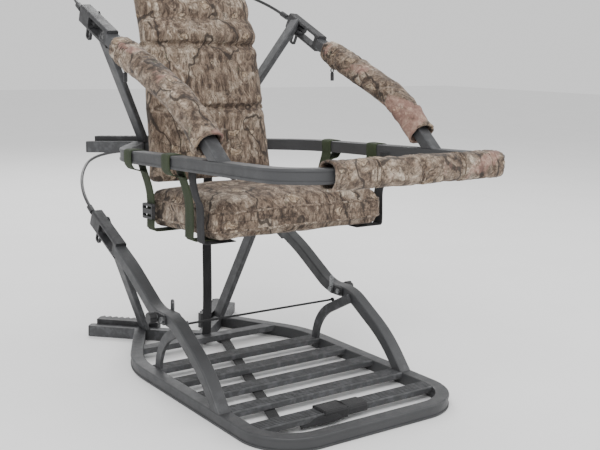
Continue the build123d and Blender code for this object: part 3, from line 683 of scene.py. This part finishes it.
def cushion():
    """Boxed seat cushion, crowned, with its sides pulled in between the corners and a piped edge."""
    half_w, front, rear = SEAT_HALF_W - SEAT_INSET, SEAT_FRONT - SEAT_INSET, SEAT_REAR + SEAT_INSET
    under, top = SEAT_UNDER + SEAT_INSET, SEAT_TOP - 0.006
    level = (under + top) / 2

    def place(p):
        x, forward, up = p.x, p.y, p.z
        u, v = x / half_w, (forward - (front + rear) / 2) / ((front - rear) / 2)
        crown = SEAT_CROWN * max(0.0, 1 - u * u) ** 0.8 * max(0.0, 1 - v * v) ** 0.6
        waist = SEAT_WAIST * (1 - min(1.0, abs(up - level) / 0.035))
        lift = crown if up > level else 0.2 * crown
        lip = -SEAT_LIP * max(0.0, v) ** 3 * (1 - 0.6 * u * u) if up > level else 0.0
        return Vector((x - waist * u * (1 - v * v), forward - waist * v * (1 - u * u), up + lift + lip))

    piece = puffed("seat_cover", (-half_w, rear, under), (half_w, front, top), CAMO_SEAT, 0.006, place)
    rumple(piece, 0.0055, (8, 9, 15), 2.3)
    tree = BVHTree.FromObject(piece, bpy.context.evaluated_depsgraph_get())
    welts = []
    for at, tag in ((top - 0.008, "top"), (under + 0.010, "bottom")):
        edge = rounded_outline(half_w + 0.002, front + 0.002, rear - 0.002, 0.030, at)
        hugging = []
        for x, forward, up in edge:
            spot, normal, _, _ = tree.find_nearest(Vector((x, forward, up)))
            hugging.append(spot + normal * 0.0006)
        hugging[-1] = hugging[0].copy()
        welts.append(tube_along("seat_welt_" + tag, hugging, WELT_R, PIPING, 8, 0.02))
    to_row(piece)
    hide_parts("seat_cushion")
    soft(piece)
    for welt in welts:
        to_row(welt)
        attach(welt, "seat")


def rounded_outline(half_w, front, rear, corner, level, step=0.009):
    """Evenly spaced points round a rectangle with rounded corners, the first one again at the end."""
    points = []
    corners = ((half_w, front, 0), (-half_w, front, 90), (-half_w, rear, 180), (half_w, rear, 270))
    for x, forward, first in corners:
        middle_x = x - corner if x > 0 else x + corner
        middle_f = forward - corner if forward == front else forward + corner
        for turn in range(6):
            angle = radians(first + turn * 18)
            arc_point = Vector((middle_x + corner * cos(angle), middle_f + corner * sin(angle), level))
            if points and turn == 0:
                parts = int((arc_point - points[-1]).length / step)
                points += [points[-1].lerp(arc_point, k / parts) for k in range(1, parts)]
            points.append(arc_point)
    parts = int((points[0] - points[-1]).length / step)
    points += [points[-1].lerp(points[0], k / parts) for k in range(1, parts)]
    points.append(points[0].copy())
    return points


def to_row(piece):
    for vertex in piece.data.vertices:
        vertex.co = seat_point(vertex.co.x, vertex.co.y, vertex.co.z)
    piece.data.update()


def soft(piece):
    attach(piece, "seat")


# the back rest's front face: forward of the trunk axis, and up from the seat frame's underside
BACK_LINE = [(0.3700, -0.0620), (0.3545, 0.0600), (0.3380, 0.1800), (0.3060, 0.3000), (0.2430, 0.4720)]
BACK_HALF_W = 0.170
BACK_T = 0.040
BACK_L = 0.552
BACK_CHANNELS = ((0.36, 0.011), (0.68, 0.013), (0.80, 0.009))   # share of its height, depth


def back_rest():
    """Quilted back pad: a long slab laid on the back's bent line, with a lumbar roll and sewn channels."""
    def place(p):
        s = max(0.0, min(1.0, (p.z + BACK_L / 2) / BACK_L))
        spot = s * (len(BACK_LINE) - 1)
        i = min(int(spot), len(BACK_LINE) - 2)
        t = spot - i
        forward = BACK_LINE[i][0] * (1 - t) + BACK_LINE[i + 1][0] * t
        up = BACK_LINE[i][1] * (1 - t) + BACK_LINE[i + 1][1] * t
        taper = 1 - 0.07 * s
        wing = 0.012 * (p.x / BACK_HALF_W) ** 2
        face = p.y
        if face > 0:
            for at, depth in BACK_CHANNELS:
                face -= depth * max(0.0, 1 - abs(s - at) / 0.022) ** 1.4
                face += 0.4 * depth * max(0.0, 1 - abs(abs(s - at) - 0.045) / 0.03)
            face += 0.007 * max(0.0, 1 - abs(s - 0.74) / 0.05)
        return Vector((p.x * taper, forward - BACK_T / 2 - 0.004 + face - wing, up))

    corner = Vector((BACK_HALF_W, BACK_T / 2, BACK_L / 2))
    piece = puffed("back_cover", -corner, corner, CAMO_BARK, 0.005, place)
    rumple(piece, 0.0040, (10, 8, 9), 5.1)
    to_row(piece)
    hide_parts("seat_back")
    soft(piece)


FRONT_SLEEVE_R = 0.0262
ARM_SLEEVE_R = 0.0278


def front_sleeve():
    """Sleeve on the seat frame's front bar, sewn across in five places."""
    low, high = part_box("front_pad")
    middle = (low + high) / 2
    start, end = low.x + 0.002, high.x - 0.002
    line = [Vector((start + (end - start) * k / 90, middle.y, middle.z)) for k in range(91)]
    piece = sleeve(
        "front_pad_cover", line, FRONT_SLEEVE_R, rings_at=(0.026, 0.095, 0.200, 0.298, 0.376),
        seams=(0.026, 0.091, 0.099, 0.196, 0.204, 0.294, 0.302, 0.376), flare=(0.13, 0.10), seed=1.4,
        creases=((0.120, 1.2, 0.0025, 1.3), (0.205, 4.0, 0.003, 1.5), (0.310, 2.2, 0.0025, 1.2)),
    )
    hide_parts("front_pad")
    soft(piece)


# the upper arm's middle under its sleeve: forward of the trunk axis, and up
ARM_LINE = [
    (0.793, 0.0577), (0.760, 0.0873), (0.725, 0.1160), (0.690, 0.1405),
    (0.640, 0.1640), (0.560, 0.1987), (0.500, 0.2242), (0.436, 0.2514),
]


def arm_sleeve(side, tag):
    """Sleeve on one arm, open and creased at its foot and ruched at its upper end."""
    line = along_path([arm_point(side, *p) for p in ARM_LINE], 0.004)
    piece = sleeve(
        "arm_pad_cover_" + tag, line, ARM_SLEEVE_R, rings_at=(0.348, 0.362, 0.376, 0.390),
        seams=(0.348, 0.362, 0.376), flare=(0.16, 0.0), seed=4.0 + side,
        creases=(
            (0.062, 0.6, 0.0050, 1.9), (0.105, 4.6, 0.0040, 1.4), (0.150, 2.4, 0.0035, 1.6),
            (0.285, 1.4, 0.0035, 1.8), (0.352, 5.0, 0.0030, 1.5), (0.392, 3.0, 0.0025, 2.0),
        ),
    )
    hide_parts("arm_pad_" + tag)
    soft(piece)
    down = Vector((0, 0.35, -0.93)).normalized()
    chain = [point + down * 0.0282 for point in line[6:-6:6]]
    zipper = ribbon("arm_zipper_" + tag, chain, (1, 0, 0), 0.008, BLACK_PLASTIC, thickness=0.0016)
    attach(zipper, "seat")


# ---- webbing -------------------------------------------------------------------------------------
SLING_FRONT = 0.640
SLING_REAR = 0.464
SPARE_AT = 0.688
SEAT_EDGE = 0.2345          # just outside the cushion
LAP = SEAT_UNDER - WEB_T
RAIL_OVER = 0.0164          # from the rail's middle to the webbing round it


def sling_web(name, forward, side):
    """Green webbing over the rail and from its inner side down to the seat."""
    top = RAIL_H + 0.7 * WEB_T
    outer, inner = SEAT_SIDE + RAIL_OVER, SEAT_SIDE - RAIL_OVER
    route = [
        (outer - 0.002, -0.004), (outer, 0.004), (outer, top - 0.005), (outer - 0.005, top),
        (inner + 0.005, top), (inner, top - 0.005), (inner, 0.003), (inner - 0.001, -0.006),
        (SEAT_EDGE, SEAT_TOP - 0.004), (SEAT_EDGE, LAP + 0.006),
    ]
    points = [seat_point(side * x, forward, z) for x, z in route]
    return ribbon(name, points, (0, 1, 0), SLING_W, GREEN_WEB, step=0.004)


def sling_loop(name, forward, side):
    """The lower leg of the same loop, from the rail's outer side back under it."""
    outer = SEAT_SIDE + RAIL_W / 2
    route = [
        (outer, -0.002), (outer - 0.008, -0.012), (SEAT_SIDE - 0.010, -0.016), (SEAT_SIDE - 0.019, -0.020),
    ]
    points = [seat_point(side * x, forward, z) for x, z in route]
    return ribbon(name, points, (0, 1, 0), SLING_W, GREEN_WEB, step=0.003)


def sling_lap(name, forward, side):
    """The end of the sling, turned under the cushion."""
    route = [
        (SEAT_EDGE, LAP + 0.010), (SEAT_EDGE - 0.004, LAP + 0.002),
        (SEAT_EDGE - 0.014, LAP), (SEAT_EDGE - 0.070, LAP),
    ]
    points = [seat_point(side * x, forward, z) for x, z in route]
    return ribbon(name, points, (0, 1, 0), SLING_W, GREEN_WEB, step=0.003)


def slings():
    """Four green slings hold the seat; a black strap hangs beside each front one."""
    for side, tag in ((1, "right"), (-1, "left")):
        for forward, place in ((SLING_FRONT, "front"), (SLING_REAR, "rear")):
            name = "seat_strap_%s_%s" % (place, tag)
            piece = sling_web(name + "_web", forward, side)
            loop = sling_loop(name + "_loop", forward, side)
            lap = sling_lap(name + "_lap", forward, side)
            for strap in (piece, loop, lap):
                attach(strap, "seat")
            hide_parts(name)
        hang = [
            (SEAT_SIDE - 0.0175, 0.012), (SEAT_SIDE - 0.0180, -0.002),
            (0.250, -0.030), (0.2425, SEAT_TOP + 0.006),
            (SEAT_EDGE + 0.0010, SEAT_TOP - 0.012), (SEAT_EDGE, SEAT_UNDER + 0.012),
            (SEAT_EDGE - 0.003, LAP + 0.001), (SEAT_EDGE - 0.014, LAP), (SEAT_EDGE - 0.075, LAP),
        ]
        spare = [seat_point(side * x, SPARE_AT, up) for x, up in hang]
        black = ribbon("spare_strap_" + tag, spare, (0, 1, 0), SPARE_W, BLACK_WEB, step=0.004)
        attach(black, "seat")


def tether():
    """Webbing from the platform's cross bar to the seat frame's V."""
    low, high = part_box("tether_strap")
    x = (low.x + high.x) / 2
    y = (low.y + high.y) / 2 - 0.0006
    points = [Vector((x + 0.0015 * sin(9 * t), y - 0.0022 * sin(pi * t), low.z + (high.z - low.z) * t))
              for t in (k / 12 for k in range(13))]
    piece = ribbon("tether_web", points, (1, 0, 0), high.x - low.x, BLACK_WEB, step=0.004)
    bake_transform(piece)
    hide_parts("tether_strap")


def deck_straps():
    """Two turns of webbing round the front slat, its loose tail, and the strap under the deck."""
    low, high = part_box("foot_strap")
    middle_y, middle_z = (low.y + high.y) / 2, (low.z + high.z) / 2
    half_y, half_z = SLAT_W / 2, SLAT_T / 2

    def wrap(name, x, width, lift, material):
        y, z = half_y + lift, half_z + lift
        soften = 0.0035
        ring = [
            (-y + soften, z), (0, z + 0.0006), (y - soften, z), (y, z - soften),
            (y, -z + soften), (y - soften, -z), (0, -z), (-y + soften, -z),
            (-y, -z + soften), (-y, z - soften), (-y + soften, z),
        ]
        points = [Vector((x, middle_y + a, middle_z + b)) for a, b in ring]
        piece = ribbon(name, points, (1, 0, 0), width, material, step=0.003)
        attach(piece, "platform")
        return piece

    wide = high.x - low.x
    first = wrap("foot_strap_inner", (low.x + high.x) / 2, wide - 0.002, 0.0012, BLACK_WEB_FLAT)
    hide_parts("foot_strap")
    wrap("foot_strap_outer", low.x + wide * 0.27, wide * 0.5, 0.0034, BLACK_WEB_FLAT)
    hem = Vector((low.x + wide * 0.52, middle_y, middle_z))
    band = [hem + Vector((0, a, b)) for a, b in ((-0.022, 0.009), (0, 0.0125), (0.022, 0.009))]
    edge = ribbon("foot_strap_edge", band, (1, 0, 0), 0.004, BLACK_WEB, thickness=0.0035)
    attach(edge, "platform")
    front = low.y + 0.002
    tail = [
        Vector((low.x + 0.050, front + 0.001, middle_z - 0.002)),
        Vector((low.x + 0.020, front - 0.004, middle_z - 0.004)),
        Vector((low.x - 0.020, front + 0.001, middle_z - 0.005)),
        Vector((low.x - 0.056, front + 0.006, middle_z - 0.007)),
    ]
    loose = ribbon("foot_strap_tail", tail, (0, 0.25, 1), 0.015, BLACK_WEB, thickness=0.0026)
    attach(loose, "platform")

    low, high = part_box("under_strap")
    z = (low.z + high.z) / 2
    start = Vector((0.040, high.y - 0.004, z))
    end = Vector((-0.165, low.y + 0.005, z))
    points = [start.lerp(end, k / 8) + Vector((0, 0, -0.0012 * sin(pi * k / 2) ** 2)) for k in range(9)]
    across = Vector((0, 0, 1)).cross(end - start)
    strap = ribbon("under_strap_web", points, across, STRAP_W, BLACK_WEB_FLAT, step=0.008)
    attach(strap, "platform")
    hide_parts("under_strap")


# ---- CAD nodes keep their shape and get their finish -----------------------------------------------
def finishes():
    """Gives every CAD node the procedural finish of its material slot."""
    by_slot = {
        "frame_paint": FRAME_PAINT, "black_aluminium": BLACK_PAINT, "black_steel": BLACK_PAINT,
        "zinc_steel": ZINC, "black_plastic": BLACK_PLASTIC, "cable_jacket": JACKET,
        "camo_fabric": CAMO_BARK, "green_webbing": GREEN_WEB, "black_webbing": BLACK_WEB,
    }
    for part in frame["record"]["subparts"]:
        name = part["node"]
        material = by_slot[part["material_slot"]]
        if name.startswith("slat_") or name == "platform_crossbar":
            material = SLAT_PAINT
        if name.startswith(("lower_pocket", "upper_pocket", "joint_plates")):
            material = BLACK_PAINT
        if name.endswith("cable_stops"):
            material = BLACK_PLASTIC
        piece = frame["nodes"][name]
        for spot in piece.material_slots:
            spot.material = material
        if not piece.material_slots:
            piece.data.materials.append(material)


# ---- stage -----------------------------------------------------------------------------------------
def studio():
    """A plain pale floor, a white sky and three soft lamps."""
    s = Shader("floor")
    tone = s.ramp(s.noise(3.0, 2.0), (0.3, (0.86, 0.86, 0.86)), (0.7, (0.88, 0.88, 0.88)))
    s.finish(tone, 0.9)
    reach = 14.0
    corners = [(-reach, -reach, 0), (reach, -reach, 0), (reach, reach, 0), (-reach, reach, 0)]
    floor = made("floor", corners, [(0, 1, 2, 3)], s.material, smooth=False)
    world = bpy.data.worlds.new("studio")
    world.use_nodes = True
    world.node_tree.nodes["Background"].inputs[0].default_value = (1.0, 1.0, 1.0, 1)
    world.node_tree.nodes["Background"].inputs[1].default_value = 1.0
    bpy.context.scene.world = world
    target = Vector((0, 0, 0.5))
    for name, spot, size, power in (
        ("key", (-2.2, -2.6, 3.4), 2.4, 150.0),
        ("fill", (3.2, -1.8, 2.0), 2.6, 55.0),
        ("back", (0.8, 3.2, 3.0), 2.0, 80.0),
    ):
        data = bpy.data.lights.new(name, "AREA")
        data.size = size
        data.energy = power
        lamp = bpy.data.objects.new(name, data)
        lamp.location = spot
        lamp.rotation_euler = (target - Vector(spot)).to_track_quat("-Z", "Y").to_euler()
        bpy.context.scene.collection.objects.link(lamp)


set_camera()
cable("lower_cable", LOWER_CABLE, "platform")
cable("upper_cable", UPPER_CABLE, "seat")
cross_cord()
finishes()
cushion()
back_rest()
front_sleeve()
arm_sleeve(1, "right")
arm_sleeve(-1, "left")
slings()
tether()
deck_straps()
studio()
